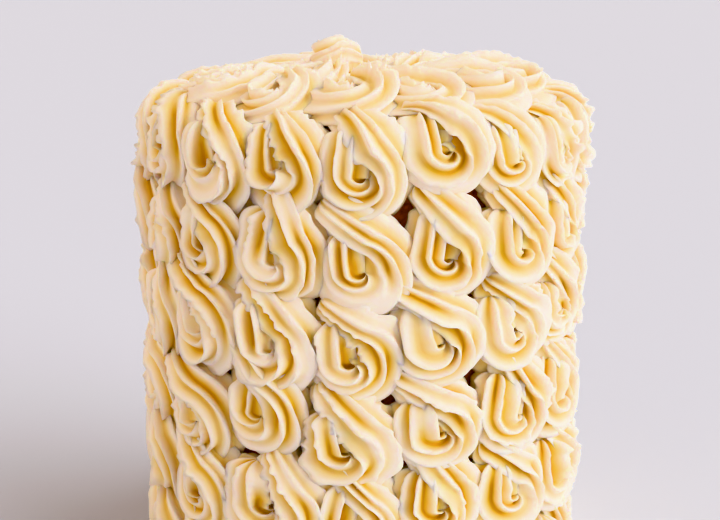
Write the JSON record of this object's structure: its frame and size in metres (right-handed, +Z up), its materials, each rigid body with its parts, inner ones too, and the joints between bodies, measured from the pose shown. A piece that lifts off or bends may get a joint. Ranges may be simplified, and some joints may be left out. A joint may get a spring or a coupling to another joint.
{
  "type": "tall single-tier rosette cake",
  "caption": "Tall round sponge cake of a single tier, covered all over in piped swirls of ivory buttercream, standing on its flat base.",
  "frame": {"origin": "centre of the flat base, on the cake's axis", "axes": "+Z up along the cake's axis; -Y towards the front, the side that is seen; +X to the right as seen from the front"},
  "size_m": [0.1931, 0.1926, 0.2235],
  "materials": {
    "sponge": "dark chocolate crumb, dull and open",
    "buttercream": "soft satin ivory, translucent in the grooves"
  },
  "bodies": {
    "root": {"sponge": "sponge", "rosettes_course_1": "buttercream", "rosettes_course_2": "buttercream", "rosettes_course_3": "buttercream", "rosettes_course_4": "buttercream", "rosettes_course_5": "buttercream", "rosettes_course_6": "buttercream", "rosettes_rim": "buttercream", "rosettes_inner": "buttercream", "rosette_centre": "buttercream", "rosette_middle": "buttercream"}
  },
  "joints": []
}
